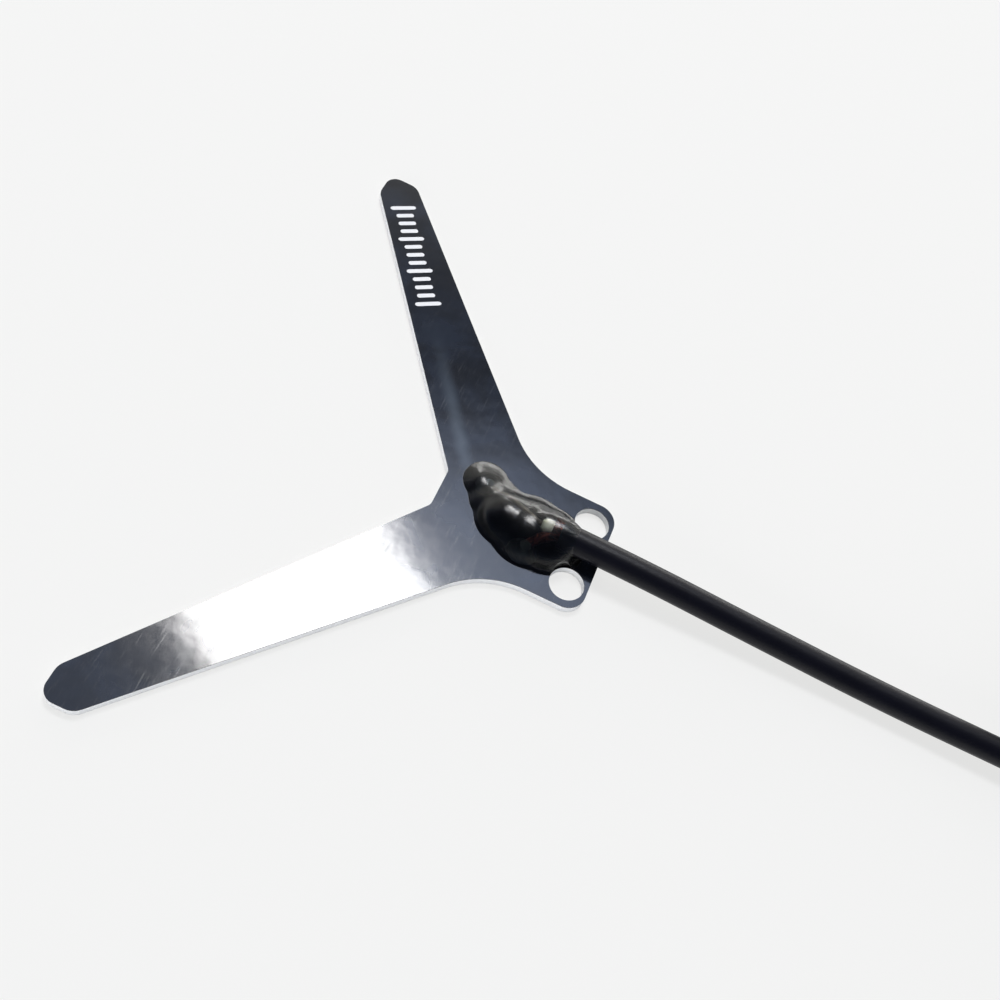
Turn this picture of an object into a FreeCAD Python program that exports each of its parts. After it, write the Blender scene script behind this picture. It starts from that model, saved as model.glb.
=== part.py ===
import FreeCAD, Part

import math
import os

from FreeCAD import Placement, Rotation, Vector

# A V shaped dipole antenna on a thin circuit board, with its coaxial lead and push-in plug, lying flat.
# Origin: midway between the two mounting holes, on the underside of the board.
# +X runs along the lead, away from the arms, +Y points to the signal arm and +Z up out of the soldered face.
# All sizes are in millimetres.

# Board outline, one half of it; the other half is its mirror image
tail_end = 1.40            # edge beyond the holes, from the line of their centres
tail_half_width = 4.08
tail_corner_radius = 1.25
outer_root = -4.86         # where the outer edge of an arm would meet the side of the tail
outer_root_radius = 6.0
outer_edge_deg = 131.4     # heading of the outer edge, from +X
inner_edge_deg = 125.3
crotch = -9.79             # flat edge between the arms
crotch_half_width = 1.46
crotch_radius = 0.7
arm_span = 46.0            # across the tips of both arms
tip_cut = 1.98             # square end of an arm, along Y
tip_radius = 0.88
tip_shoulder_radius = 1.1

# Board layers
laminate_thickness = 0.55
copper_thickness = 0.035
mask_thickness = 0.06      # over bare laminate; it is thinner where it covers copper
hole_diameter = 2.3
hole_spacing = 4.92
copper_inset = 0.35        # bare edge around the copper
feed_gap = 0.5             # between the two copper arms
signal_copper_end = -4.2   # ends of the two coppers towards the lead
ground_copper_end = -1.75

# Solder pads, open windows in the mask
signal_pad = (-7.05, 1.6)
signal_pad_radius = 0.8
ground_pad = (-3.35, -1.7)
ground_pad_radius = 0.95
signal_solder_height = 0.5
ground_solder_height = 0.85
solder_crown_share = 0.4   # radius of the crown of a joint as a share of its pad's
wire_lift = 0.05           # solder under a wire that lies in a joint

# Coaxial lead
lead_diameter = 1.8
braid_diameter = 1.3
dielectric_diameter = 0.84
conductor_diameter = 0.3
lead_lift = 1.05           # axis of the lead above the soldered face, where it ends
jacket_end = -1.7
braid_bared = 0.55
dielectric_bared = 1.2     # from the end of the jacket
pigtail_diameter = 0.6
wire_past_pad = 0.25       # end of a wire beyond the middle of its pad
conductor_straight = 0.3   # conductor beyond the core before it bends down to its pad
pigtail_root = (-0.3, -0.05)      # where the twisted braid starts, as y and height from the lead's axis
pigtail_bend = (0.5, -0.85, 0.5)  # its bend: beyond the bared braid, as y, and above its place on the pad
lead_rest = 0.03           # under the lead where it lies on the ground

# Resin drop over the joints: the domes that make it up, as x, y and radius at the foot
far_dome = (-6.95, 1.55, 1.85)
middle_dome = (-5.4, 0.5, 2.15)
lead_dome = (-2.75, -0.45, 3.1)
resin_cover = 0.25         # above the top of the lead
resin_hole_margin = 0.06
resin_end = 0.3            # where it stops along the lead

# Put-away coil and its tie
coil_across = 10.0         # diameter of a turn, in lead diameters
coil_layers = 2
coil_x = 39.5
coil_gap_deg = 38.0        # missing piece of the ring, where the incoming lead lies beside it
tie_width = 3.0
tie_thickness = 0.3
tie_deg = 60.0             # where the tie sits round the coil

# Plug
collar_diameter = 4.0
collar_length = 2.4
collar_groove_depth = 0.25
collar_groove_width = 0.35
shoulder_diameter = 3.5
shoulder_length = 1.2
sleeve_diameter = 2.9
sleeve_length = 2.9
sleeve_wall = 0.35
sleeve_chamfer = 0.15
barrel_diameter = 2.0
barrel_length = 4.2
snap_groove_depth = 0.2
snap_groove_width = 0.45
snap_groove_from_tip = 0.75
snap_ring_proud = 0.16
snap_ring_gap = 0.5
ring_clearance = 0.02
insulator_length = 3.6
insulator_step = 0.4       # rear face of the insulator in front of the crimp barrel
pin_diameter = 0.4
pin_recess = 0.35          # tip of the pin behind the tip of the sleeve
cup_diameter = 0.7         # solder cup at the rear of the pin
cup_length = 1.2
ferrule_diameter = 3.25
ferrule_length = 5.4
crimp_across_flats = 2.6
crimp_length = 3.0
crimp_from_front = 0.7
boot_wall = 0.3
boot_on_ferrule = 1.4
boot_on_lead = 2.4
boot_taper = 1.0

# Values worked out from the sizes above
inner_slope = math.tan(math.radians(180 - inner_edge_deg))
outer_slope = math.tan(math.radians(180 - outer_edge_deg))
tip_side = arm_span / 2
tip_end = crotch - (tip_side - tip_cut - crotch_half_width) / inner_slope
soldered_face = laminate_thickness + mask_thickness
copper_top = laminate_thickness + copper_thickness
lead_radius = lead_diameter / 2
lead_axis = soldered_face + lead_lift
hole_radius = hole_diameter / 2
coil_radius = coil_across * lead_diameter / 2
coil_low = tie_thickness + lead_radius
coil_high = coil_low + lead_diameter * (coil_layers - 1)
lead_y = -0.35
coil_centre = Vector(coil_x, lead_y + coil_radius, 0)
plug_axis = collar_diameter / 2

# The lead's route from the end of its jacket to the coil, chosen by hand from the photograph
lead_route = [
    Vector(jacket_end, 0, lead_axis),
    Vector(3.4, 0, lead_axis),
    Vector(11.5, -0.05, 1.22),
    Vector(21.0, -0.2, lead_radius + lead_rest),
    Vector(31.0, lead_y, coil_low),
    Vector(coil_x, lead_y, coil_low),
]

# The lead's route from the end of the coil's ring to the plug, as distance along its heading and height
tail_heading = Vector(math.cos(math.radians(-coil_gap_deg)), math.sin(math.radians(-coil_gap_deg)), 0)
tail_start = coil_centre + Vector(tail_heading.y, -tail_heading.x, 0) * coil_radius
tail_route = [
    tail_start + tail_heading * along + Vector(0, 0, height)
    for along, height in ((0, coil_high), (5.2, coil_high), (11.6, plug_axis), (18.0, plug_axis))
]


def rounded_wire(corners, height):
    """Closed outline through (x, y, radius) corners, each rounded by its radius, at the given height."""
    points = [Vector(x, y, height) for x, y, _ in corners]
    edges = []
    ends = []
    for index, (x, y, radius) in enumerate(corners):
        corner = points[index]
        back = (points[index - 1] - corner).normalize()
        ahead = (points[(index + 1) % len(points)] - corner).normalize()
        half = back.getAngle(ahead) / 2
        reach = radius / math.tan(half)
        inward = (back + ahead).normalize()
        middle = corner + inward * (radius / math.sin(half) - radius)
        ends.append((corner + back * reach, middle, corner + ahead * reach))
    for index, (start, middle, end) in enumerate(ends):
        edges.append(Part.Arc(start, middle, end).toShape())
        edges.append(Part.LineSegment(end, ends[(index + 1) % len(ends)][0]).toShape())
    return Part.Wire(edges)


def board_corners():
    """Corners of the board from the tail round the signal arm, then its mirror image."""
    outer_shoulder = outer_root - (tip_side - tail_half_width) / outer_slope
    half = [
        (tail_end, tail_half_width, tail_corner_radius),
        (outer_root, tail_half_width, outer_root_radius),
        (outer_shoulder, tip_side, tip_shoulder_radius),
        (tip_end, tip_side, tip_radius),
        (tip_end, tip_side - tip_cut, tip_shoulder_radius),
        (crotch, crotch_half_width, crotch_radius),
    ]
    return half + [(x, -y, radius) for x, y, radius in reversed(half)]


def board_face(height):
    return Part.Face(rounded_wire(board_corners(), height))


def copper_face(height):
    """The board's outline with sharp corners, drawn in by the bare edge."""
    corners = [Vector(x, y, height) for x, y, _ in board_corners()]
    sharp = 2
    return Part.Face(Part.makePolygon(corners + corners[:1])).makeOffset2D(-copper_inset, sharp)


def mounting_holes(radius, bottom, top):
    """Two upright cylinders through the places of the mounting holes."""
    pair = [
        Part.makeCylinder(radius, top - bottom, Vector(0, side * hole_spacing / 2, bottom))
        for side in (-1, 1)
    ]
    return pair[0].fuse(pair[1])


def make_board():
    plate = board_face(0).extrude(Vector(0, 0, laminate_thickness))
    return plate.cut(mounting_holes(hole_radius, 0, laminate_thickness))


def make_arm(side, end):
    """Copper of one arm, etched on the top of the laminate. side is 1 for signal, -1 for ground."""
    sheet = copper_face(laminate_thickness).extrude(Vector(0, 0, copper_thickness))
    width = tip_side
    low = feed_gap / 2 if side > 0 else -feed_gap / 2 - width
    window = Part.makeBox(
        end - tip_end,
        width,
        copper_thickness,
        Vector(tip_end, low, laminate_thickness),
    )
    return sheet.common(window)


def make_mask(arms):
    """Black coat over laminate and copper, open over the two solder pads and the holes."""
    coat = board_face(laminate_thickness).extrude(Vector(0, 0, mask_thickness))
    coat = coat.cut(mounting_holes(hole_radius, laminate_thickness, soldered_face))
    for arm in arms:
        coat = coat.cut(arm)
    for pad, radius in ((signal_pad, signal_pad_radius), (ground_pad, ground_pad_radius)):
        window = Part.makeCylinder(radius, mask_thickness, Vector(*pad, laminate_thickness))
        coat = coat.cut(window)
    return coat


def make_solder(pad, radius, height):
    """Joint that runs out to the edge of its pad, with a blunt crown."""
    return Part.makeCone(radius, radius * solder_crown_share, height, Vector(*pad, copper_top))


def bend_radius(before, point, after):
    """Arc at a point of a route: 0.45 of the shorter run over the tangent of half the turn."""
    back = before - point
    ahead = after - point
    turn = math.pi - back.getAngle(ahead)
    return 0.45 * min(back.Length, ahead.Length) / math.tan(turn / 2)


def make_tube(route, radius, name):
    """Round bar along straight runs that are joined by tangent arcs."""
    edges = []
    start = route[0]
    radii = []
    for before, point, after in zip(route, route[1:], route[2:]):
        back = (before - point).normalize()
        ahead = (after - point).normalize()
        half = back.getAngle(ahead) / 2
        bend = bend_radius(before, point, after)
        reach = bend / math.tan(half)
        inward = (back + ahead).normalize()
        middle = point + inward * (bend / math.sin(half) - bend)
        edges.append(Part.LineSegment(start, point + back * reach).toShape())
        edges.append(Part.Arc(point + back * reach, middle, point + ahead * reach).toShape())
        start = point + ahead * reach
        radii.append(bend)
    edges.append(Part.LineSegment(start, route[-1]).toShape())
    path = Part.Wire(edges)
    heading = route[1] - route[0]
    section = Part.Wire(Part.makeCircle(radius, route[0], heading))
    tube = path.makePipeShell([section], True, False)
    print(
        f"{name}: {path.Length:.1f} mm long, bend radii {[round(r, 1) for r in radii]} mm, "
        f"volume {tube.Volume:.2f} of {math.pi * radius ** 2 * path.Length:.2f} mm3"
    )
    return tube


def make_dielectric():
    """White core of the lead, bared in front of its jacket and bored for the conductor."""
    start = Vector(jacket_end - dielectric_bared, 0, lead_axis)
    core = Part.makeCylinder(dielectric_diameter / 2, dielectric_bared, start, Vector(1, 0, 0))
    bore = Part.makeCylinder(conductor_diameter / 2, dielectric_bared, start, Vector(1, 0, 0))
    return core.cut(bore)


def make_wire(route, radius):
    """Short round wire with sharp bends."""
    path = Part.makePolygon(route)
    section = Part.Wire(Part.makeCircle(radius, route[0], route[1] - route[0]))
    mitred = 1
    return path.makePipeShell([section], True, False, mitred)


def make_conductor():
    """Centre conductor, from the jacket's end through the core and down to the signal pad."""
    x, y = signal_pad
    radius = conductor_diameter / 2
    return make_wire(
        [
            Vector(jacket_end, 0, lead_axis),
            Vector(jacket_end - dielectric_bared - conductor_straight, 0, lead_axis),
            Vector(x - wire_past_pad, y, copper_top + radius + wire_lift),
        ],
        radius,
    )


def make_braid():
    """Braid: a collar round the core, its strands twisted into a tail that goes down to the ground pad."""
    x, y = ground_pad
    root_y, root_z = pigtail_root
    bend_x, bend_y, bend_z = pigtail_bend
    radius = pigtail_diameter / 2
    collar = Part.makeCylinder(
        braid_diameter / 2,
        braid_bared,
        Vector(jacket_end - braid_bared, 0, lead_axis),
        Vector(1, 0, 0),
    )
    tail = make_wire(
        [
            Vector(jacket_end - braid_bared / 2, root_y, lead_axis + root_z),
            Vector(jacket_end - braid_bared - bend_x, bend_y, copper_top + radius + bend_z),
            Vector(x - wire_past_pad, y, copper_top + radius + wire_lift),
        ],
        radius,
    )
    core = Part.makeCylinder(
        dielectric_diameter / 2,
        dielectric_bared,
        Vector(jacket_end - dielectric_bared, 0, lead_axis),
        Vector(1, 0, 0),
    )
    return collar.fuse(tail).cut(core)


def make_resin(embedded):
    """Drop of clear resin over both joints and the end of the lead, moulded round what it covers."""
    sleeve = Part.makeCylinder(
        lead_radius + resin_cover,
        resin_end - ground_pad[0],
        Vector(ground_pad[0], 0, lead_axis),
        Vector(1, 0, 0),
    )
    drop = sleeve
    domes = (
        (far_dome, signal_solder_height + resin_cover),
        (middle_dome, lead_lift + resin_cover / 2),
        (lead_dome, lead_lift + lead_radius + resin_cover),
    )
    for (x, y, foot), height in domes:
        sphere = (foot ** 2 + height ** 2) / (2 * height)
        middle = Vector(x, y, soldered_face + height - sphere)
        drop = drop.fuse(Part.makeSphere(sphere, middle, Vector(0, 1, 0), -90, 90, 360))
    depth = 2 * lead_dome[2]
    below = Part.makeBox(
        tail_end - tip_end,
        arm_span,
        depth,
        Vector(tip_end, -tip_side, soldered_face - depth),
    )
    drop = drop.cut(below)
    drop = drop.removeSplitter()
    top = soldered_face + lead_lift + lead_diameter
    drop = drop.cut(mounting_holes(hole_radius + resin_hole_margin, soldered_face, top))
    for piece in embedded:
        drop = drop.cut(piece)
    return max(drop.Solids, key=lambda solid: solid.Volume)


def bundle_ring(half_width, start, sweep):
    """Ring round the stacked turns: half_width from the middle of each, over a sweep of degrees."""
    inner = coil_radius - half_width
    outer = coil_radius + half_width
    low = coil_low - half_width
    high = coil_high + half_width
    outline = [Vector(inner, 0, low), Vector(outer, 0, low), Vector(outer, 0, high), Vector(inner, 0, high)]
    ring = Part.Face(Part.makePolygon(outline + outline[:1])).revolve(Vector(0, 0, 0), Vector(0, 0, 1), sweep)
    ring.Placement = Placement(coil_centre, Rotation(Vector(0, 0, 1), start))
    return ring


def make_coil():
    """The turns as one open ring: the lead meets its first end and the tail leaves its last one."""
    return bundle_ring(lead_radius, -90, 360 - coil_gap_deg)


def make_tie():
    """Strip round the stacked turns of the coil."""
    sweep = math.degrees(tie_width / coil_radius)
    start = tie_deg - sweep / 2
    band = bundle_ring(lead_radius + tie_thickness, start, sweep)
    return band.cut(bundle_ring(lead_radius, start - sweep, sweep * 3))


def turned(outline):
    """Solid of revolution about the X axis from (along, radius) points."""
    points = [Vector(along, radius, 0) for along, radius in outline]
    face = Part.Face(Part.makePolygon(points + points[:1]))
    return face.revolve(Vector(0, 0, 0), Vector(1, 0, 0), 360)


def on_lead(piece):
    """Moves a piece of the plug from its own frame, with the jacket's end at 0, to the end of the lead."""
    piece.Placement = Placement(tail_route[-1], Rotation(Vector(1, 0, 0), tail_heading))
    return piece


def make_plug_body():
    """One turned piece: crimp barrel, shoulder, grooved collar and the sleeve that enters the socket."""
    shoulder = barrel_length + shoulder_length
    collar = shoulder + collar_length
    tip = collar + sleeve_length
    sleeve = sleeve_diameter / 2
    collar_groove = shoulder + (collar_length - collar_groove_width) / 2
    groove = tip - snap_groove_from_tip - snap_groove_width
    bore = sleeve - sleeve_wall
    core = dielectric_diameter / 2 + ring_clearance
    return turned([
        (0, core),
        (0, barrel_diameter / 2),
        (barrel_length, barrel_diameter / 2),
        (barrel_length, shoulder_diameter / 2),
        (shoulder, shoulder_diameter / 2),
        (shoulder, collar_diameter / 2),
        (collar_groove, collar_diameter / 2),
        (collar_groove, collar_diameter / 2 - collar_groove_depth),
        (collar_groove + collar_groove_width, collar_diameter / 2 - collar_groove_depth),
        (collar_groove + collar_groove_width, collar_diameter / 2),
        (collar, collar_diameter / 2),
        (collar, sleeve),
        (groove, sleeve),
        (groove, sleeve - snap_groove_depth),
        (groove + snap_groove_width, sleeve - snap_groove_depth),
        (groove + snap_groove_width, sleeve),
        (tip - sleeve_chamfer, sleeve),
        (tip, sleeve - sleeve_chamfer),
        (tip, bore),
        (insulator_start(), bore),
        (insulator_start(), core),
    ])


def plug_tip():
    return barrel_length + shoulder_length + collar_length + sleeve_length


def insulator_start():
    return barrel_length + insulator_step


def make_insulator():
    start = insulator_start()
    outer = sleeve_diameter / 2 - sleeve_wall
    return turned([
        (start, pin_diameter / 2),
        (start, outer),
        (start + insulator_length, outer),
        (start + insulator_length, pin_diameter / 2),
    ])


def make_pin():
    """Centre pin with its solder cup behind the insulator and a blunt point in front."""
    start = insulator_start()
    tip = plug_tip() - pin_recess
    radius = pin_diameter / 2
    return turned([
        (start - cup_length, 0),
        (start - cup_length, cup_diameter / 2),
        (start, cup_diameter / 2),
        (start, radius),
        (tip - radius, radius),
        (tip, radius / 2),
        (tip, 0),
    ])


def make_snap_ring():
    """Split spring ring in the groove of the sleeve."""
    groove = plug_tip() - snap_groove_from_tip - snap_groove_width
    inner = sleeve_diameter / 2 - snap_groove_depth + ring_clearance
    outer = sleeve_diameter / 2 + snap_ring_proud
    start = groove + ring_clearance
    end = groove + snap_groove_width - ring_clearance
    round_edge = snap_ring_proud
    ring = turned([
        (start, inner),
        (start, outer - round_edge),
        (start + round_edge, outer),
        (end - round_edge, outer),
        (end, outer - round_edge),
        (end, inner),
    ])
    slot = Part.makeBox(snap_groove_width, snap_ring_gap, outer + 1, Vector(groove, -snap_ring_gap / 2, 0))
    return ring.cut(slot)


def make_ferrule():
    """Crimp tube over the barrel and the end of the jacket, pressed to a hexagon near its front."""
    outer = ferrule_diameter / 2
    rear = barrel_length - ferrule_length
    tube = turned([
        (rear, lead_radius),
        (rear, outer),
        (barrel_length, outer),
        (barrel_length, barrel_diameter / 2),
        (0, barrel_diameter / 2),
        (0, lead_radius),
    ])
    crimp_end = barrel_length - crimp_from_front
    crimp_start = Vector(crimp_end - crimp_length, 0, 0)
    corner = Vector(0, crimp_across_flats / math.sqrt(3), 0)
    corners = [
        crimp_start + Rotation(Vector(1, 0, 0), angle).multVec(corner)
        for angle in range(0, 361, 60)
    ]
    hexagon = Part.Face(Part.makePolygon(corners)).extrude(Vector(crimp_length, 0, 0))
    pressed = Part.makeCylinder(outer * 1.5, crimp_length, crimp_start, Vector(1, 0, 0)).cut(hexagon)
    return tube.cut(pressed)


def make_boot():
    """Shrunk sleeve from the rear of the ferrule onto the lead."""
    rear = barrel_length - ferrule_length
    on_ferrule = ferrule_diameter / 2
    return turned([
        (rear - boot_on_lead, lead_radius),
        (rear - boot_on_lead, lead_radius + boot_wall),
        (rear - boot_taper, lead_radius + boot_wall),
        (rear, on_ferrule + boot_wall),
        (rear + boot_on_ferrule, on_ferrule + boot_wall),
        (rear + boot_on_ferrule, on_ferrule),
        (rear, on_ferrule),
        (rear, lead_radius),
    ])


def make_parts():
    board = make_board()
    signal_arm = make_arm(1, signal_copper_end)
    ground_arm = make_arm(-1, ground_copper_end)
    conductor = make_conductor()
    braid = make_braid()
    dielectric = make_dielectric()
    lead = make_tube(lead_route, lead_radius, "lead")
    signal_solder = make_solder(signal_pad, signal_pad_radius, signal_solder_height).cut(conductor)
    ground_solder = make_solder(ground_pad, ground_pad_radius, ground_solder_height).cut(braid)
    resin = make_resin([lead, braid, dielectric, conductor, signal_solder, ground_solder])
    return {
        "circuit_board": board,
        "signal_arm_copper": signal_arm,
        "ground_arm_copper": ground_arm,
        "solder_mask": make_mask([signal_arm, ground_arm]),
        "signal_solder_joint": signal_solder,
        "ground_solder_joint": ground_solder,
        "lead_conductor": conductor,
        "lead_dielectric": dielectric,
        "lead_braid": braid,
        "resin_drop": resin,
        "coaxial_lead": lead,
        "lead_coil": make_coil(),
        "lead_tail": make_tube(tail_route, lead_radius, "tail"),
        "coil_tie": make_tie(),
        "plug_body": on_lead(make_plug_body()),
        "plug_insulator": on_lead(make_insulator()),
        "plug_pin": on_lead(make_pin()),
        "plug_snap_ring": on_lead(make_snap_ring()),
        "plug_ferrule": on_lead(make_ferrule()),
        "plug_boot": on_lead(make_boot()),
    }


os.makedirs("parts", exist_ok=True)
for name, shape in make_parts().items():
    shape.exportStep(f"parts/{name}.step")
    box = shape.BoundBox
    print(
        f"{name}: {len(shape.Solids)} solid, {shape.Volume:.3f} mm3, valid {shape.isValid()}, "
        f"x {box.XMin:.2f} to {box.XMax:.2f}, y {box.YMin:.2f} to {box.YMax:.2f}, "
        f"z {box.ZMin:.2f} to {box.ZMax:.2f}"
    )
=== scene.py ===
import math

import bmesh
import bpy
from mathutils import Euler, Matrix, Vector


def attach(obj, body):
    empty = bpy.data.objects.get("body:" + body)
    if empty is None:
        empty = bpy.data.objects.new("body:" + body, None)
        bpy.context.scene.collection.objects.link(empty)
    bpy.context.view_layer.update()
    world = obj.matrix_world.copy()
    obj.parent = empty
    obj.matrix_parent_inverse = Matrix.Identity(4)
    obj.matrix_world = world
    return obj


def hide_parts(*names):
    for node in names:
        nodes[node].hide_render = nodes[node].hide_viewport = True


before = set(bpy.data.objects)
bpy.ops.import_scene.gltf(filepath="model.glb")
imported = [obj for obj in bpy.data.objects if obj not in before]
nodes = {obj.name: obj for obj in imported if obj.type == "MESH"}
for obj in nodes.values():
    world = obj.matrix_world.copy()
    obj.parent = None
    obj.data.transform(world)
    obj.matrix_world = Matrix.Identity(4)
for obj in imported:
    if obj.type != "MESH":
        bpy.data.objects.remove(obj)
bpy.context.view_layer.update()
scene = bpy.context.scene
mm = 0.001
print("stage: frame loaded,", len(nodes), "nodes")


# Shader and geometry node helpers

class Value:
    # a number that changes over a surface; operators add Math nodes
    def __init__(self, tree, socket):
        self.tree = tree
        self.socket = socket

    def math(self, operation, *values):
        node = self.tree.nodes.new("ShaderNodeMath")
        node.operation = operation
        for socket, value in zip(node.inputs, values):
            feed(self.tree, socket, value)
        return Value(self.tree, node.outputs[0])

    def __add__(self, other):
        return self.math("ADD", self, other)

    def __radd__(self, other):
        return self.math("ADD", other, self)

    def __sub__(self, other):
        return self.math("SUBTRACT", self, other)

    def __rsub__(self, other):
        return self.math("SUBTRACT", other, self)

    def __mul__(self, other):
        return self.math("MULTIPLY", self, other)

    def __rmul__(self, other):
        return self.math("MULTIPLY", other, self)

    def __abs__(self):
        return self.math("ABSOLUTE", self)

    def sine(self):
        return self.math("SINE", self)

    def most(self, other):
        return self.math("MAXIMUM", self, other)

    def above(self, low, high):
        # 0 below low, 1 above high, smooth between
        node = self.tree.nodes.new("ShaderNodeMapRange")
        node.interpolation_type = "SMOOTHSTEP"
        feed(self.tree, node.inputs["Value"], self)
        node.inputs["From Min"].default_value = low
        node.inputs["From Max"].default_value = high
        return Value(self.tree, node.outputs["Result"])


def feed(tree, socket, value):
    if isinstance(value, Value):
        tree.links.new(value.socket, socket)
    elif isinstance(value, bpy.types.NodeSocket):
        tree.links.new(value, socket)
    elif isinstance(value, tuple) and socket.type == "RGBA" and len(value) == 3:
        socket.default_value = (*value, 1.0)
    else:
        socket.default_value = value


def addNode(tree, kind, settings=None, sockets=None):
    # settings go in first, because some of them change the sockets
    node = tree.nodes.new(kind)
    for name, value in (settings or {}).items():
        setattr(node, name, value)
    for name, value in (sockets or {}).items():
        feed(tree, node.inputs[name], value)
    return node


def mixColours(tree, amount, first, second):
    # a Mix node has a set of sockets for each kind of data; these are the colour ones
    node = addNode(tree, "ShaderNodeMix", {"data_type": "RGBA"}, {"Factor": amount})
    feed(tree, node.inputs[6], first)
    feed(tree, node.inputs[7], second)
    return node.outputs[2]


class Finish:
    # one material: its tree, its Principled shader and the patterns on Object coordinates
    def __init__(self, name, **constants):
        self.material = bpy.data.materials.new(name)
        self.material.use_nodes = True
        self.tree = self.material.node_tree
        self.shader = self.tree.nodes["Principled BSDF"]
        for socket, value in constants.items():
            feed(self.tree, self.shader.inputs[socket.replace("_", " ")], value)
        self.spot = addNode(self.tree, "ShaderNodeTexCoord").outputs["Object"]

    def node(self, kind, settings=None, sockets=None):
        return addNode(self.tree, kind, settings, sockets)

    def axes(self):
        parts = self.node("ShaderNodeSeparateXYZ", None, {"Vector": self.spot})
        return [Value(self.tree, parts.outputs[axis]) for axis in "XYZ"]

    def along(self, direction):
        made = self.node("ShaderNodeVectorMath", {"operation": "DOT_PRODUCT"}, {0: self.spot, 1: direction})
        return Value(self.tree, made.outputs["Value"])

    def noise(self, size, detail=3.0, stretch=(1.0, 1.0, 1.0), turn=0.0, distortion=0.0):
        # size is the width of a blotch in metres
        placed = self.node(
            "ShaderNodeMapping",
            None,
            {"Vector": self.spot, "Rotation": (0.0, 0.0, turn), "Scale": stretch},
        )
        made = self.node(
            "ShaderNodeTexNoise",
            {"noise_dimensions": "3D"},
            {"Vector": placed.outputs[0], "Scale": 1.0 / size, "Detail": detail, "Distortion": distortion},
        )
        return Value(self.tree, made.outputs["Fac"])

    def blend(self, amount, first, second):
        return mixColours(self.tree, amount, first, second)

    def bump(self, height, depth):
        # depth is the real height of the relief in metres where height goes from 0 to 1
        made = self.node("ShaderNodeBump", None, {"Height": height, "Strength": 1.0, "Distance": depth})
        return made.outputs["Normal"]

    def set(self, **sockets):
        for name, value in sockets.items():
            feed(self.tree, self.shader.inputs[name.replace("_", " ")], value)
        return self.material


# Camera, fitted to the photograph's board outline

cameraView = {
    "spot": (-5.241, -43.430, 66.519),
    "turn": (31.549, -13.475, 21.757),
    "lens": 44.88,
    "clip": (5.0, 10000.0),
}


def makeCamera():
    data = bpy.data.cameras.new("camera")
    data.lens = cameraView["lens"]
    data.clip_start, data.clip_end = [distance * mm for distance in cameraView["clip"]]
    camera = bpy.data.objects.new("camera", data)
    camera.location = Vector(cameraView["spot"]) * mm
    camera.rotation_euler = Euler([math.radians(a) for a in cameraView["turn"]])
    scene.collection.objects.link(camera)
    scene.camera = camera


# Finishes

boardFace = 0.61  # height of the soldered face, in mm as all sizes below

maskCoat = {
    "waves": 2.6,
    "ripple": 0.7,
    "grain": 0.10,
    "patches": 3.2,
    "relief": 0.012,
    "hairs": 0.08,
    "hairsTurn": -14.0,
    "crossHairs": 0.10,
    "crossTurn": 31.0,
    "clear": (0.006, 0.007, 0.010),
    "cloudy": (0.012, 0.016, 0.026),
    "wet": (0.003, 0.003, 0.004),
}


def maskFinish():
    # black coat: deep gloss with the slow waves of a screened coat, hair scratches and cloudy patches
    coat = Finish("solderMaskBlack", IOR=1.50)
    waves = coat.noise(maskCoat["waves"] * mm, 2.0)
    ripple = coat.noise(maskCoat["ripple"] * mm, 2.0)
    grain = coat.noise(maskCoat["grain"] * mm, 2.0)
    hairsTurn, crossTurn = math.radians(maskCoat["hairsTurn"]), math.radians(maskCoat["crossTurn"])
    hairs = coat.noise(maskCoat["hairs"] * mm, 2.0, stretch=(1.0, 0.05, 1.0), turn=hairsTurn)
    crossHairs = coat.noise(maskCoat["crossHairs"] * mm, 2.0, stretch=(0.05, 1.0, 1.0), turn=crossTurn)
    patches = coat.noise(maskCoat["patches"] * mm, 4.0, distortion=0.6)
    scratched = hairs.above(0.60, 0.72).most(crossHairs.above(0.64, 0.74) * 0.4)
    cloudy = coat.blend(patches.above(0.38, 0.68), maskCoat["clear"], maskCoat["cloudy"])
    # painted reflection: the pale streak along the signal arm is sheen painted into the coat's colour, over
    # the cloudy patches
    cloudyWithSheen = coat.blend(sheenStreakMask(coat) * (0.4 + patches * 0.6), cloudy, paintedSheenStreak["colour"])
    wet = underResin(coat)
    height = waves * 0.8 + ripple * 0.11 + grain * 0.005 + scratched * 0.003
    return coat.set(
        Base_Color=coat.blend(wet, cloudyWithSheen, maskCoat["wet"]),
        Roughness=(0.085 + ripple * 0.03 + scratched * 0.05) * (1.0 - wet) + wet * 0.9,
        Metallic=wet,
        Normal=coat.bump(height, maskCoat["relief"] * mm),
    )


# Painted reflection: a pale bluish streak down the signal arm, painted into the coat's colour as the sheen
# of a brighter strip of the room

paintedSheenStreak = {
    "heading": -56.1,
    "passes": (-10.3, 4.45),
    "halfWidth": 0.75,
    "reach": (-9.5, 3.4),
    "colour": (0.060, 0.075, 0.095),
}


def sheenStreakMask(finish):
    # where the painted reflection streak lies: 1 along its middle, fading at its sides and ends
    heading = math.radians(paintedSheenStreak["heading"])
    way = Vector((math.cos(heading), math.sin(heading), 0.0))
    side = Vector((-way.y, way.x, 0.0))
    spot = Vector((*paintedSheenStreak["passes"], 0.0))
    across = abs(finish.along(tuple(side)) - spot.dot(side) * mm)
    ahead = finish.along(tuple(way)) - spot.dot(way) * mm
    start, end = paintedSheenStreak["reach"]
    fade = ahead.above(start * mm, 0.0) * (1.0 - ahead.above(0.6 * end * mm, end * mm))
    return (1.0 - across.above(0.0, paintedSheenStreak["halfWidth"] * mm)) * fade


def underResin(finish):
    # 1 where the resin wets the coat, which then throws back nearly nothing
    x, y = finish.axes()[:2]
    inner, outer = resinDrop["wetEdge"]
    wet = None
    for middleX, middleY, foot, _ in resinDrop["domes"]:
        gapX = x - middleX * mm
        gapY = y - middleY * mm
        reach = x.math("SQRT", gapX * gapX + gapY * gapY)
        inside = (foot * mm - reach).above(inner * mm, outer * mm)
        wet = inside if wet is None else wet.most(inside)
    return wet


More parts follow.
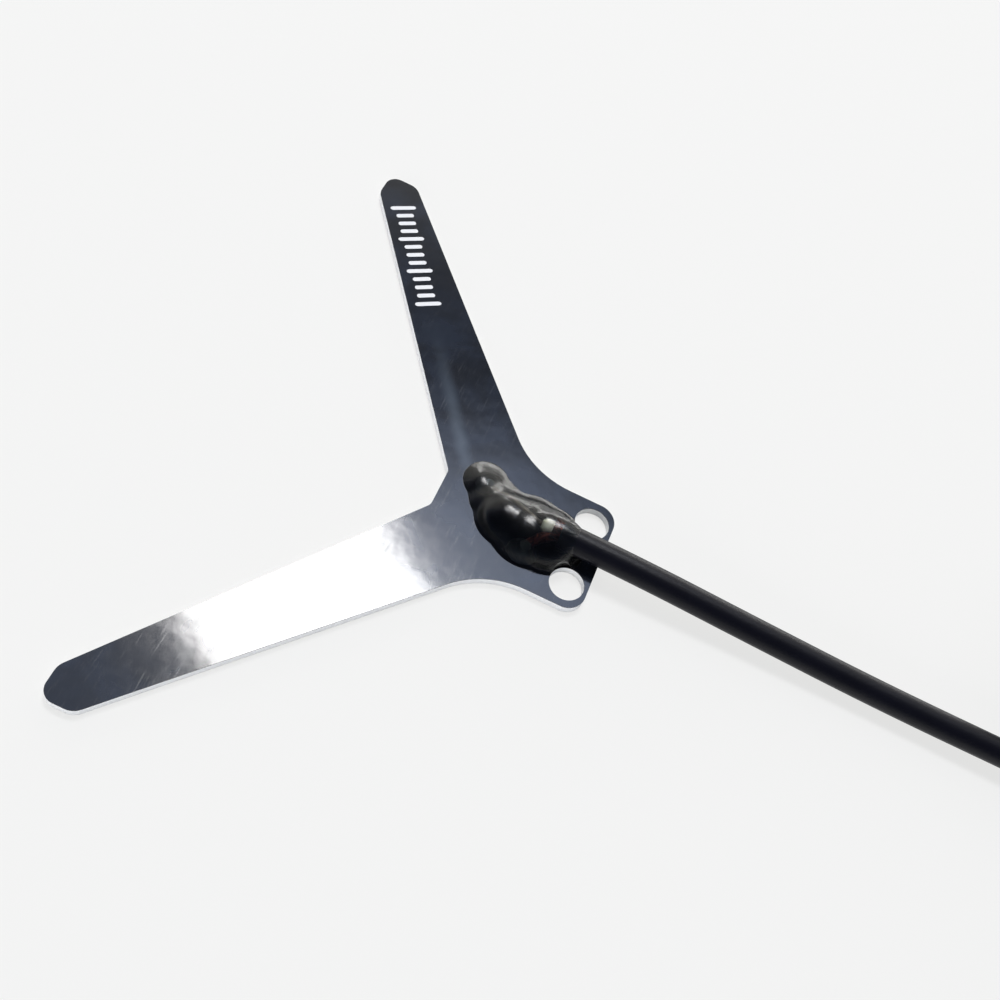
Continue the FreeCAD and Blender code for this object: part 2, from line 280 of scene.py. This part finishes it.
def laminateFinish():
    # pale resin and glass edge, with the black coat on its underside
    board = Finish("laminateEdge", IOR=1.5)
    z = board.axes()[2]
    cloth = board.noise(0.35 * mm, 2.0, stretch=(1.0, 1.0, 6.0))
    fibres = board.noise(0.08 * mm, 3.0)
    pale = board.blend(cloth, (0.88, 0.88, 0.86), (0.95, 0.95, 0.93))
    under = 1.0 - z.above(0.002 * mm, 0.006 * mm)
    colour = board.blend(under, pale, (0.012, 0.013, 0.016))
    return board.set(
        Base_Color=colour,
        Roughness=0.62 - under * 0.45 + fibres * 0.1,
        Normal=board.bump(fibres + cloth, 0.004 * mm),
    )


def copperFinish():
    foil = Finish("etchedCopper", Metallic=1.0)
    grain = foil.noise(0.15 * mm, 4.0)
    return foil.set(
        Base_Color=foil.blend(grain, (0.62, 0.30, 0.19), (0.80, 0.46, 0.31)),
        Roughness=0.3 + grain * 0.15,
        Normal=foil.bump(grain, 0.002 * mm),
    )


def solderFinish():
    # painted shade: the tin is painted nearly black, for the dark look it has under the resin, not its own
    # bright grey
    tin = Finish("tinSolderPaintedShade", Metallic=1.0)
    skin = tin.noise(0.3 * mm, 3.0)
    return tin.set(
        Base_Color=tin.blend(skin, (0.016, 0.018, 0.020), (0.038, 0.042, 0.044)),
        Roughness=0.38 + skin * 0.2,
        Normal=tin.bump(skin, 0.02 * mm),
    )


def wireFinish():
    # painted shade: the silvered wire is painted dark, for the dark look it has under the resin, not its
    # own bright silver
    wire = Finish("silveredWirePaintedShade", Metallic=1.0)
    drawn = wire.noise(0.05 * mm, 2.0, stretch=(0.1, 1.0, 1.0))
    return wire.set(
        Base_Color=wire.blend(drawn, (0.07, 0.06, 0.05), (0.14, 0.12, 0.10)),
        Roughness=0.32 + drawn * 0.15,
        Normal=wire.bump(drawn, 0.003 * mm),
    )


def coreFinish():
    core = Finish("creamCore", IOR=1.38)
    cloud = core.noise(0.4 * mm, 3.0)
    return core.set(
        Base_Color=core.blend(cloud, (0.82, 0.76, 0.58), (0.93, 0.90, 0.78)),
        Roughness=0.4 + cloud * 0.1,
        Normal=core.bump(cloud, 0.006 * mm),
    )


braidWeave = {
    "around": 10.0,
    "perMm": 9.0,
    "depth": 0.04,
    "gapShade": (0.03, 0.009, 0.008),
    "strands": (0.10, 0.030, 0.025),
}


def braidFinish(axisHeight):
    # crossing strands round the core's axis, painted far darker than copper as painted shade for the dark
    # resin over them, with painted shade in the gaps between strands
    braid = Finish("copperBraid", Metallic=1.0)
    x, y, z = braid.axes()
    around = x.math("ARCTAN2", y, z - axisHeight) * braidWeave["around"]
    ahead = x * (braidWeave["perMm"] / mm)
    strands = (around + ahead).sine().most((around - ahead).sine()).above(0.1, 0.95)
    tarnish = braid.noise(0.3 * mm, 3.0)
    return braid.set(
        # painted shade: the gap colour darkens between the strands, and both colours are copper painted
        # dark
        Base_Color=braid.blend(strands * (0.5 + tarnish * 0.5), braidWeave["gapShade"], braidWeave["strands"]),
        Roughness=0.32 + tarnish * 0.2,
        Normal=braid.bump(strands, braidWeave["depth"] * mm),
    )


def resinFinish():
    # smoky clear resin: nearly black where it is deep, with a wavy glossy skin
    resin = Finish("smokyResin", Transmission_Weight=1.0, IOR=1.42, Specular_IOR_Level=0.3)
    waves = resin.noise(0.9 * mm, 2.0)
    film = resin.noise(1.8 * mm, 3.0)
    body = resin.node(
        "ShaderNodeVolumeAbsorption",
        None,
        {"Color": resinDrop["depthColour"], "Density": resinDrop["depthDensity"] / mm},
    )
    output = resin.tree.nodes["Material Output"]
    resin.tree.links.new(body.outputs[0], output.inputs["Volume"])
    return resin.set(
        Base_Color=resin.blend(film, (0.80, 0.86, 0.83), (0.92, 0.95, 0.93)),
        Roughness=0.21 + film * 0.08,
        Normal=resin.bump(waves, 0.04 * mm),
    )


leadBlack = {"tone": (0.0035, 0.0035, 0.0065), "texture": 0.09}
bootBlack = {"tone": (0.012, 0.012, 0.013), "texture": 0.16}


def jacketFinish(name, look):
    # matt black plastic with a fine drawn grain and a few pale specks
    jacket = Finish(name, IOR=1.45, Specular_IOR_Level=0.26)
    grain = jacket.noise(look["texture"] * mm, 4.0, stretch=(0.25, 1.0, 1.0))
    drift = jacket.noise(2.5 * mm, 3.0)
    specks = jacket.noise(0.11 * mm, 2.0).above(0.76, 0.80)
    dark = jacket.blend(drift, tuple(t * 0.7 for t in look["tone"]), tuple(t * 1.3 for t in look["tone"]))
    return jacket.set(
        Base_Color=jacket.blend(specks * 0.25, dark, (0.10, 0.10, 0.10)),
        Roughness=0.33 + grain * 0.12,
        Normal=jacket.bump(grain, 0.010 * mm),
    )


turnedGold = {"bright": (0.90, 0.70, 0.34), "dull": (0.78, 0.57, 0.25)}
pressedGold = {"bright": (0.86, 0.68, 0.36), "dull": (0.70, 0.53, 0.26)}
ringsPerMm = 18.0


def goldFinish(name, look, heading):
    # turned metal: rings that change only along the plug's axis
    gold = Finish(name, Metallic=1.0)
    along = gold.along(heading)
    across = gold.node("ShaderNodeCombineXYZ", None, {"X": along * ringsPerMm})
    rings = gold.node(
        "ShaderNodeTexNoise",
        {"noise_dimensions": "3D"},
        {"Vector": across.outputs[0], "Scale": 1.0 / mm, "Detail": 3.0},
    )
    turning = Value(gold.tree, rings.outputs["Fac"])
    bloom = gold.noise(0.9 * mm, 3.0)
    return gold.set(
        Base_Color=gold.blend(bloom, look["dull"], look["bright"]),
        Roughness=0.2 + turning * 0.12 + bloom * 0.06,
        Normal=gold.bump(turning, 0.003 * mm),
    )


def inkFinish():
    ink = Finish("whiteInk", IOR=1.45)
    mottle = ink.noise(0.18 * mm, 3.0)
    return ink.set(
        Base_Color=ink.blend(mottle, (0.66, 0.67, 0.69), (0.76, 0.76, 0.77)),
        Roughness=0.5 + mottle * 0.12,
        Normal=ink.bump(mottle, 0.004 * mm),
    )


def stripFinish():
    # paper covered wire strip: fine ribs along it
    strip = Finish("tieStrip", IOR=1.45)
    z = strip.axes()[2]
    ribs = (z * (2 * math.pi / (0.24 * mm))).sine()
    grain = strip.noise(0.1 * mm, 3.0)
    return strip.set(
        Base_Color=strip.blend(grain, (0.020, 0.020, 0.021), (0.040, 0.040, 0.042)),
        Roughness=0.42 + grain * 0.15,
        Normal=strip.bump(ribs * 0.5 + grain, 0.012 * mm),
    )


def paint(name, material):
    mesh = nodes[name].data
    mesh.materials.clear()
    mesh.materials.append(material)


# Pieces

def meshFrom(build, name):
    mesh = bpy.data.meshes.new(name)
    build.to_mesh(mesh)
    build.free()
    return mesh


def addMesh(name, mesh, material, smooth=True):
    mesh.materials.clear()
    mesh.materials.append(material)
    for face in mesh.polygons:
        face.use_smooth = smooth
    piece = bpy.data.objects.new(name, mesh)
    scene.collection.objects.link(piece)
    return piece


# Coaxial lead, as one smooth cord

leadCord = {
    "diameter": 1.8,
    "length": 168.0,
    "route": [
        (-1.7, 0.0, 1.66),
        (3.4, 0.0, 1.66),
        (11.5, -0.05, 1.22),
        (21.0, -0.2, 0.93),
        (31.0, -0.35, 1.2),
        (39.5, -0.35, 1.2),
    ],
    "coilCentre": (39.5, 8.65),
    "coilRadius": 9.0,
    "coilLow": 1.2,
    "coilStart": -90.0,
    "coilTurn": 682.0,
    "layers": 2,
    "pointsPerTurn": 16,
    "climbFrom": 195.0,
    "climbTo": 243.0,
    "tailHeading": -38.0,
    "tail": [(3.6, 4.75), (8.0, 3.5), (11.6, 2.05), (14.8, 2.0), (18.0, 2.0)],
    "smoothness": 8,
    "roundness": 6,
}


def coilHeight(turned):
    # each full turn climbs one diameter in the stretch before it would meet the incoming lead
    low = leadCord["climbFrom"] - leadCord["coilStart"]
    high = leadCord["climbTo"] - leadCord["coilStart"]
    layers = 0.0
    for whole in range(leadCord["layers"]):
        share = (turned - 360.0 * whole - low) / (high - low)
        share = min(max(share, 0.0), 1.0)
        layers += share * share * (3.0 - 2.0 * share)
    return leadCord["coilLow"] + layers * leadCord["diameter"]


def cordPoints():
    points = list(leadCord["route"])
    cx, cy = leadCord["coilCentre"]
    step = 360.0 / leadCord["pointsPerTurn"]
    reach = leadCord["coilRadius"] / math.cos(math.radians(step / 2))
    for index in range(int(leadCord["coilTurn"] / step)):
        turned = step * (index + 0.5)
        angle = math.radians(turned + leadCord["coilStart"])
        points.append((cx + reach * math.cos(angle), cy + reach * math.sin(angle), coilHeight(turned)))
    heading = math.radians(leadCord["tailHeading"])
    along = Vector((math.cos(heading), math.sin(heading), 0.0))
    start = Vector((cx, cy, 0.0)) + Vector((along.y, -along.x, 0.0)) * leadCord["coilRadius"]
    for distance, height in leadCord["tail"]:
        spot = start + along * distance
        points.append((spot.x, spot.y, height))
    return points


def makeCord(material):
    data = bpy.data.curves.new("coaxialCord", "CURVE")
    data.dimensions = "3D"
    spline = data.splines.new("NURBS")
    points = cordPoints()
    spline.points.add(len(points) - 1)
    for point, (x, y, z) in zip(spline.points, points):
        point.co = (x * mm, y * mm, z * mm, 1.0)
    spline.order_u = 3
    spline.use_endpoint_u = True
    spline.resolution_u = leadCord["smoothness"]
    data.bevel_depth = leadCord["diameter"] / 2 * mm
    data.bevel_resolution = leadCord["roundness"]
    data.use_fill_caps = True
    data.materials.append(material)
    cord = bpy.data.objects.new("coaxialCord", data)
    scene.collection.objects.link(cord)
    print("stage: cord with", len(points), "points")
    return cord


# Strip that holds the coil's turns together

coilTie = {
    "at": 60.0,
    "width": 3.0,
    "thickness": 0.3,
    "gap": 0.01,
    "edge": 0.06,
    "roundSteps": 10,
    "lengthSteps": 12,
}


def makeTie(material):
    # a band round the two stacked turns: outer and inner skins, bent with the coil
    turned = coilTie["at"] - leadCord["coilStart"]
    low, high = coilHeight(turned), coilHeight(turned + 360.0)
    wire = leadCord["diameter"] / 2
    sweep = coilTie["width"] / leadCord["coilRadius"]
    first = math.radians(coilTie["at"]) - sweep / 2
    cx, cy = leadCord["coilCentre"]

    def ring(radius):
        steps = coilTie["roundSteps"]
        loop = []
        for index in range(2 * steps + 2):
            upper = index <= steps
            share = index / steps if upper else (index - steps - 1) / steps
            angle = math.pi * share if upper else math.pi * (1 + share)
            middle = high if upper else low
            loop.append((radius * math.cos(angle), middle + radius * math.sin(angle)))
        return loop

    build = bmesh.new()
    skins = []
    last = coilTie["lengthSteps"]
    for radius, edge in ((wire + coilTie["thickness"], coilTie["edge"]), (wire + coilTie["gap"], 0.0)):
        rows = []
        for index in range(last + 1):
            angle = first + sweep * index / last
            drawnIn = edge if index in (0, last) else 0.0
            row = []
            for across, up in ring(radius - drawnIn):
                out = leadCord["coilRadius"] + across
                spot = Vector((cx + out * math.cos(angle), cy + out * math.sin(angle), up))
                row.append(build.verts.new(spot * mm))
            rows.append(row)
        skins.append(rows)
    outer, inner = skins
    count = len(outer[0])
    for rows, flip in ((outer, False), (inner, True)):
        for back, ahead in zip(rows, rows[1:]):
            for index in range(count):
                quad = [back[index], ahead[index], ahead[(index + 1) % count], back[(index + 1) % count]]
                build.faces.new(quad[::-1] if flip else quad)
    for end in (0, -1):
        for index in range(count):
            after = (index + 1) % count
            build.faces.new([outer[end][index], outer[end][after], inner[end][after], inner[end][index]])
    bmesh.ops.recalc_face_normals(build, faces=build.faces)
    return addMesh("coilStrip", meshFrom(build, "coilStrip"), material)


# Resin drop

resinDrop = {
    "sunk": 0.012,
    "wetEdge": (-0.02, 0.06),
    "skirt": 0.32,
    "skirtSlope": 31.0,
    "lean": (-0.05, -0.15),
    "domes": [
        (-7.30, 1.90, 1.55, 0.58),
        (-6.25, 0.95, 1.80, 0.82),
        (-5.00, 0.08, 2.28, 1.65),
        (-3.45, -0.13, 2.77, 1.86),
        (-2.25, -0.13, 2.58, 2.08),
    ],
    "leadAxis": 1.66,
    "sleeveRadius": 1.14,
    "sleeveFrom": -2.6,
    "sleeveTo": -0.75,
    "sleeveSteps": 6,
    "sleeveTaper": 0.12,
    "voxel": 0.08,
    "smoothRounds": 100,
    "smoothShare": 0.5,
    "holeSpacing": 4.92,
    "holeRadius": 1.21,
    "drillLength": 8.0,
    "depthColour": (0.24, 0.26, 0.21),
    "depthDensity": 0.55,
}


def addBall(build, centre, radius):
    place = Matrix.Translation(Vector(centre) * mm)
    bmesh.ops.create_uvsphere(build, u_segments=64, v_segments=40, radius=radius * mm, matrix=place)


def applied(piece):
    # the mesh that a work piece's modifiers give; the work piece itself goes
    graph = bpy.context.evaluated_depsgraph_get()
    graph.update()
    mesh = bpy.data.meshes.new_from_object(piece.evaluated_get(graph))
    bpy.data.objects.remove(piece)
    return mesh


def workPiece(build, name):
    piece = bpy.data.objects.new(name, meshFrom(build, name))
    scene.collection.objects.link(piece)
    return piece


def makeResin(material):
    build = bmesh.new()
    # each dome leans on a flatter skirt, where the resin has run out over the coat
    leanX, leanY = resinDrop["lean"]
    skirtRise = math.tan(math.radians(resinDrop["skirtSlope"] / 2))
    for x, y, foot, height in resinDrop["domes"]:
        reach = foot - resinDrop["skirt"]
        radius = (reach ** 2 + height ** 2) / (2 * height)
        addBall(build, (x + leanX, y + leanY, boardFace + height - radius), radius)
        rise = foot * skirtRise
        radius = (foot ** 2 + rise ** 2) / (2 * rise)
        addBall(build, (x, y, boardFace + rise - radius), radius)
    # a sleeve round the lead, which narrows over its last two steps
    steps = resinDrop["sleeveSteps"]
    for index in range(steps + 1):
        x = resinDrop["sleeveFrom"] + (resinDrop["sleeveTo"] - resinDrop["sleeveFrom"]) * index / steps
        taper = resinDrop["sleeveTaper"] * max(index - steps + 2, 0)
        addBall(build, (x, 0.0, resinDrop["leadAxis"]), resinDrop["sleeveRadius"] - taper)
    piece = workPiece(build, "resinRough")
    remesh = piece.modifiers.new("remesh", "REMESH")
    remesh.mode = "VOXEL"
    remesh.voxel_size = resinDrop["voxel"] * mm
    smooth = piece.modifiers.new("smooth", "SMOOTH")
    smooth.iterations = resinDrop["smoothRounds"]
    smooth.factor = resinDrop["smoothShare"]
    mesh = applied(piece)
    # cut flat on the board, then drilled clear of the mounting holes
    build = bmesh.new()
    build.from_mesh(mesh)
    cut = bmesh.ops.bisect_plane(
        build,
        geom=build.verts[:] + build.edges[:] + build.faces[:],
        plane_co=(0.0, 0.0, (boardFace - resinDrop["sunk"]) * mm),
        plane_no=(0.0, 0.0, -1.0),
        clear_outer=True,
    )
    rim = [item for item in cut["geom_cut"] if isinstance(item, bmesh.types.BMEdge)]
    bmesh.ops.contextual_create(build, geom=rim)
    bmesh.ops.recalc_face_normals(build, faces=build.faces)
    piece = workPiece(build, "resinBody")
    drills = bmesh.new()
    for side in (-1, 1):
        bmesh.ops.create_cone(
            drills,
            cap_ends=True,
            segments=72,
            radius1=resinDrop["holeRadius"] * mm,
            radius2=resinDrop["holeRadius"] * mm,
            depth=resinDrop["drillLength"] * mm,
            matrix=Matrix.Translation((0.0, side * resinDrop["holeSpacing"] / 2 * mm, boardFace * mm)),
        )
    drill = workPiece(drills, "resinDrills")
    bore = piece.modifiers.new("bore", "BOOLEAN")
    bore.operation = "DIFFERENCE"
    bore.solver = "EXACT"
    bore.object = drill
    mesh = applied(piece)
    bpy.data.objects.remove(drill)
    return addMesh("resinCover", mesh, material)


# Bared end of the core, with the edge that the heat of soldering has rounded

bareCore = {
    "from": -2.9,
    "to": -1.7,
    "height": 1.66,
    "radius": 0.42,
    "bore": 0.15,
    "roundLength": 0.4,
    "roundSteps": 7,
    "segments": 40,
}


def makeCore(material):
    outline = [(bareCore["to"], bareCore["bore"]), (bareCore["to"], bareCore["radius"])]
    depth = bareCore["radius"] - bareCore["bore"]
    for index in range(bareCore["roundSteps"] + 1):
        angle = math.pi / 2 * index / bareCore["roundSteps"]
        along = bareCore["from"] + bareCore["roundLength"] * (1.0 - math.sin(angle))
        outline.append((along, bareCore["bore"] + depth * math.cos(angle)))
    build = bmesh.new()
    rings = []
    for index in range(bareCore["segments"]):
        angle = 2 * math.pi * index / bareCore["segments"]
        rings.append([
            build.verts.new(Vector((x, r * math.cos(angle), bareCore["height"] + r * math.sin(angle))) * mm)
            for x, r in outline
        ])
    for ring, after in zip(rings, rings[1:] + rings[:1]):
        for index in range(len(outline)):
            ahead = (index + 1) % len(outline)
            build.faces.new([ring[index], ring[ahead], after[ahead], after[index]])
    bmesh.ops.recalc_face_normals(build, faces=build.faces)
    return addMesh("bareCore", meshFrom(build, "bareCore"), material)


# White marks on the signal arm: plain strokes, set out along it by a node tree

armMarks = {
    "first": (-21.55, 20.55),
    "heading": -54.5,
    "count": 13,
    "pitch": 0.74,
    "stroke": 1.3,
    "width": 0.33,
    "thickness": 0.012,
    "longEvery": 4,
    "longScale": 1.45,
    "cornerShare": 0.48,
    "cornerSteps": 5,
    "weld": 0.0001,
}


def markTree(material):
    tree = bpy.data.node_groups.new("markRow", "GeometryNodeTree")
    sizes = {
        "Count": ("NodeSocketInt", armMarks["count"]),
        "Pitch": ("NodeSocketFloat", armMarks["pitch"] * mm),
        "Stroke": ("NodeSocketFloat", armMarks["stroke"] * mm),
        "Width": ("NodeSocketFloat", armMarks["width"] * mm),
        "Thickness": ("NodeSocketFloat", armMarks["thickness"] * mm),
        "Long Every": ("NodeSocketInt", armMarks["longEvery"]),
        "Long Scale": ("NodeSocketFloat", armMarks["longScale"]),
    }
    for name, (kind, value) in sizes.items():
        tree.interface.new_socket(name=name, in_out="INPUT", socket_type=kind).default_value = value
    tree.interface.new_socket(name="Geometry", in_out="OUTPUT", socket_type="NodeSocketGeometry")
    given = addNode(tree, "NodeGroupInput").outputs
    step = addNode(tree, "ShaderNodeCombineXYZ", None, {"X": given["Pitch"]})
    line = addNode(
        tree,
        "GeometryNodeMeshLine",
        {"mode": "OFFSET"},
        {"Count": given["Count"], "Offset": step.outputs[0]},
    )
    bar = addNode(
        tree,
        "GeometryNodeCurvePrimitiveQuadrilateral",
        None,
        {"Width": given["Width"], "Height": given["Stroke"]},
    )
    corner = addNode(
        tree,
        "ShaderNodeMath",
        {"operation": "MULTIPLY"},
        {0: given["Width"], 1: armMarks["cornerShare"]},
    )
    rounded = addNode(
        tree,
        "GeometryNodeFilletCurve",
        {"mode": "POLY"},
        {"Curve": bar.outputs[0], "Count": armMarks["cornerSteps"], "Radius": corner.outputs[0]},
    )
    flat = addNode(tree, "GeometryNodeFillCurve", {"mode": "NGONS"}, {"Curve": rounded.outputs[0]})
    raised = addNode(
        tree,
        "GeometryNodeExtrudeMesh",
        {"mode": "FACES"},
        {"Mesh": flat.outputs[0], "Offset Scale": given["Thickness"], "Individual": False},
    )
    base = addNode(tree, "GeometryNodeFlipFaces", None, {"Mesh": flat.outputs[0]})
    shell = addNode(tree, "GeometryNodeJoinGeometry")
    tree.links.new(raised.outputs["Mesh"], shell.inputs[0])
    tree.links.new(base.outputs[0], shell.inputs[0])
    closed = addNode(
        tree,
        "GeometryNodeMergeByDistance",
        None,
        {"Geometry": shell.outputs[0], "Distance": armMarks["weld"] * mm},
    )
    number = addNode(tree, "GeometryNodeInputIndex")
    turn = addNode(
        tree,
        "ShaderNodeMath",
        {"operation": "MODULO"},
        {0: number.outputs[0], 1: given["Long Every"]},
    )
    isLong = addNode(tree, "ShaderNodeMath", {"operation": "LESS_THAN"}, {0: turn.outputs[0], 1: 0.5})
    extra = addNode(tree, "ShaderNodeMath", {"operation": "SUBTRACT"}, {0: given["Long Scale"], 1: 1.0})
    tall = addNode(
        tree,
        "ShaderNodeMath",
        {"operation": "MULTIPLY_ADD"},
        {0: isLong.outputs[0], 1: extra.outputs[0], 2: 1.0},
    )
    size = addNode(tree, "ShaderNodeCombineXYZ", None, {"X": 1.0, "Y": tall.outputs[0], "Z": 1.0})
    row = addNode(
        tree,
        "GeometryNodeInstanceOnPoints",
        None,
        {"Points": line.outputs[0], "Instance": closed.outputs[0], "Scale": size.outputs[0]},
    )
    solid = addNode(tree, "GeometryNodeRealizeInstances", None, {"Geometry": row.outputs[0]})
    inked = addNode(
        tree,
        "GeometryNodeSetMaterial",
        None,
        {"Geometry": solid.outputs[0], "Material": material},
    )
    out = addNode(tree, "NodeGroupOutput")
    tree.links.new(inked.outputs[0], out.inputs[0])
    return tree


def makeMarks(material):
    host = bpy.data.objects.new("markHost", bpy.data.meshes.new("markHost"))
    scene.collection.objects.link(host)
    modifier = host.modifiers.new("marks", "NODES")
    modifier.node_group = markTree(material)
    mesh = applied(host)
    x, y = armMarks["first"]
    turn = Matrix.Rotation(math.radians(armMarks["heading"]), 4, "Z")
    mesh.transform(Matrix.Translation(Vector((x, y, boardFace)) * mm) @ turn)
    return addMesh("armMarks", mesh, material, smooth=False)


# Floor, lamps and sky

studio = {
    "floor": (0.86, 0.86, 0.85),
    "floorHalf": 1600.0,
    "floorDrop": 0.02,
    "floorBlotch": 90.0,
    "floorShown": 0.16,
    "floorGlow": (0.722, 0.722, 0.712),
    "panelSpot": (-71.8, 208.0, 446.6),
    "panelSize": (106.0, 178.0),
    "panelTurn": 55.0,
    "panelPower": 1.85,
    "fillSpot": (-60.0, -420.0, 130.0),
    "fillSize": (420.0, 180.0),
    "fillPower": 1.0,
    # the sky's strengths, and the heights or cosines between which each part fades in
    "back": (-0.25, 0.45),
    "horizonBack": 1.0,
    "overheadBack": 0.22,
    "riseBack": (0.66, 0.78),
    "horizonFront": 0.24,
    "overheadFront": 0.10,
    "riseFront": (0.12, 0.35),
    "glow": 4.0,
    "glowAim": (0.0, 0.46, 0.888),
    "glowEdge": (0.980, 0.9995),
    "endGlow": 1.0,
    "endGlowAim": (-0.262, 0.275, 0.925),
    "endGlowEdge": (0.985, 0.9985),
    "window": 9.0,
    "windowAim": (-0.39, 0.87, 0.31),
    "windowEdge": (0.9960, 0.9975),
    "strip": 5.0,
    "stripEdge": (0.86, 0.95),
    "stripTop": (0.16, 0.30),
    "shown": 0.92,
    "skyColour": (0.64, 0.75, 1.0),
    "horizonColour": (1.0, 0.99, 0.96),
    "frontColour": (0.50, 0.63, 1.0),
}


def makeFloor():
    build = bmesh.new()
    bmesh.ops.create_grid(build, x_segments=8, y_segments=8, size=studio["floorHalf"] * mm)
    paper = Finish("floorPaper", Specular_IOR_Level=0.2)
    tone = paper.noise(studio["floorBlotch"] * mm, 2.0)
    pale = studio["floor"]
    paper.set(
        Base_Color=paper.blend(tone, tuple(c * 0.985 for c in pale), pale),
        Roughness=0.8 + tone * 0.1,
    )
    # what the camera and shiny things see: a white ground that still takes shadows
    shown = paper.node("ShaderNodeBsdfDiffuse", None, {"Color": (studio["floorShown"],) * 3})
    glow = paper.node("ShaderNodeEmission", None, {"Color": studio["floorGlow"], "Strength": 1.0})
    both = paper.node("ShaderNodeAddShader", None, {0: shown.outputs[0], 1: glow.outputs[0]})
    path = paper.node("ShaderNodeLightPath").outputs
    direct, mirrored, through = [
        Value(paper.tree, path[kind]) for kind in ("Is Camera Ray", "Is Glossy Ray", "Is Transmission Ray")
    ]
    white = direct.most(mirrored).most(through)
    mixed = paper.node(
        "ShaderNodeMixShader",
        None,
        {0: white, 1: paper.shader.outputs[0], 2: both.outputs[0]},
    )
    paper.tree.links.new(mixed.outputs[0], paper.tree.nodes["Material Output"].inputs["Surface"])
    floor = addMesh("floor", meshFrom(build, "floor"), paper.material, smooth=False)
    floor.location.z = -studio["floorDrop"] * mm


def makeLamp(name, spot, size, power, turn=0.0, colour=(1.0, 1.0, 1.0), aim=None, glossy=True):
    data = bpy.data.lights.new(name, "AREA")
    data.shape = "RECTANGLE"
    data.size, data.size_y = size[0] * mm, size[1] * mm
    data.energy = power
    data.color = colour
    lamp = bpy.data.objects.new(name, data)
    lamp.location = Vector(spot) * mm
    lamp.rotation_euler = (0.0, 0.0, math.radians(turn))
    lamp.visible_glossy = glossy
    lamp.visible_transmission = glossy
    if aim is not None:
        way = Vector(spot) - Vector(aim)
        lamp.rotation_euler = way.to_track_quat("Z", "Y").to_euler()
    scene.collection.objects.link(lamp)


def makeSky():
    # a room with pale walls behind and dark ones in front, as the gloss of the board shows it
    world = bpy.data.worlds.new("studioSky")
    scene.world = world
    world.use_nodes = True
    tree = world.node_tree
    way = addNode(tree, "ShaderNodeTexCoord").outputs["Generated"]
    parts = addNode(tree, "ShaderNodeSeparateXYZ", None, {"Vector": way})
    y, z = [Value(tree, parts.outputs[axis]) for axis in "YZ"]

    def near(light):
        aim = studio[light + "Aim"]
        made = addNode(tree, "ShaderNodeVectorMath", {"operation": "DOT_PRODUCT"}, {0: way, 1: aim})
        return Value(tree, made.outputs["Value"]).above(*studio[light + "Edge"]) * studio[light]

    back = y.above(*studio["back"])
    highBack = z.above(*studio["riseBack"])
    highFront = z.above(*studio["riseFront"])
    behind = studio["horizonBack"] + highBack * (studio["overheadBack"] - studio["horizonBack"])
    before = studio["horizonFront"] + highFront * (studio["overheadFront"] - studio["horizonFront"])
    strip = y.above(*studio["stripEdge"]) * (1.0 - z.above(*studio["stripTop"])) * studio["strip"]
    lights = near("glow") + near("endGlow") + strip + near("window")
    strength = back * behind + (1.0 - back) * before + lights
    wall = mixColours(tree, highBack, studio["horizonColour"], studio["skyColour"])
    around = mixColours(tree, back, studio["frontColour"], wall)
    # the camera itself sees an even pale sky
    seen = Value(tree, addNode(tree, "ShaderNodeLightPath").outputs["Is Camera Ray"])
    background = tree.nodes["Background"]
    feed(tree, background.inputs["Color"], mixColours(tree, seen, around, studio["horizonColour"]))
    feed(tree, background.inputs["Strength"], strength * (1.0 - seen) + seen * studio["shown"])


# Making everything, the camera and the cord first

makeCamera()
heading = math.radians(leadCord["tailHeading"])
plugWay = (math.cos(heading), math.sin(heading), 0.0)
cord = makeCord(jacketFinish("leadJacket", leadBlack))
tie = makeTie(stripFinish())
resin = makeResin(resinFinish())
coreMaterial = coreFinish()
bare = makeCore(coreMaterial)
marks = makeMarks(inkFinish())
print("stage: pieces made")

copper = copperFinish()
solder = solderFinish()
brass = goldFinish("goldPlating", turnedGold, plugWay)
crimp = goldFinish("crimpPlating", pressedGold, plugWay)
finishes = {
    "circuit_board": laminateFinish(),
    "signal_arm_copper": copper,
    "ground_arm_copper": copper,
    "solder_mask": maskFinish(),
    "signal_solder_joint": solder,
    "ground_solder_joint": solder,
    "lead_conductor": wireFinish(),
    "lead_braid": braidFinish(leadCord["route"][0][2] * mm),
    "plug_body": brass,
    "plug_insulator": coreMaterial,
    "plug_pin": brass,
    "plug_snap_ring": brass,
    "plug_ferrule": crimp,
    "plug_boot": jacketFinish("shrunkSleeve", bootBlack),
}
for name, material in finishes.items():
    paint(name, material)
print("stage: finishes on", len(finishes), "nodes")

for piece, slot, replaced in (
    (cord, "jacket", ["coaxial_lead", "lead_coil", "lead_tail"]),
    (tie, "tie", ["coil_tie"]),
    (resin, "resin", ["resin_drop"]),
    (bare, "lead_core", ["lead_dielectric"]),
):
    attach(piece, "root")
    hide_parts(*replaced)
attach(marks, "root")

makeFloor()
makeLamp(
    "panel",
    studio["panelSpot"],
    studio["panelSize"],
    studio["panelPower"],
    turn=studio["panelTurn"],
    colour=(1.0, 0.99, 0.98),
)
makeLamp(
    "fill",
    studio["fillSpot"],
    studio["fillSize"],
    studio["fillPower"],
    aim=(0.0, 0.0, 0.0),
    glossy=False,
)
makeSky()
scene.view_settings.view_transform = "Standard"
print("stage: studio made")
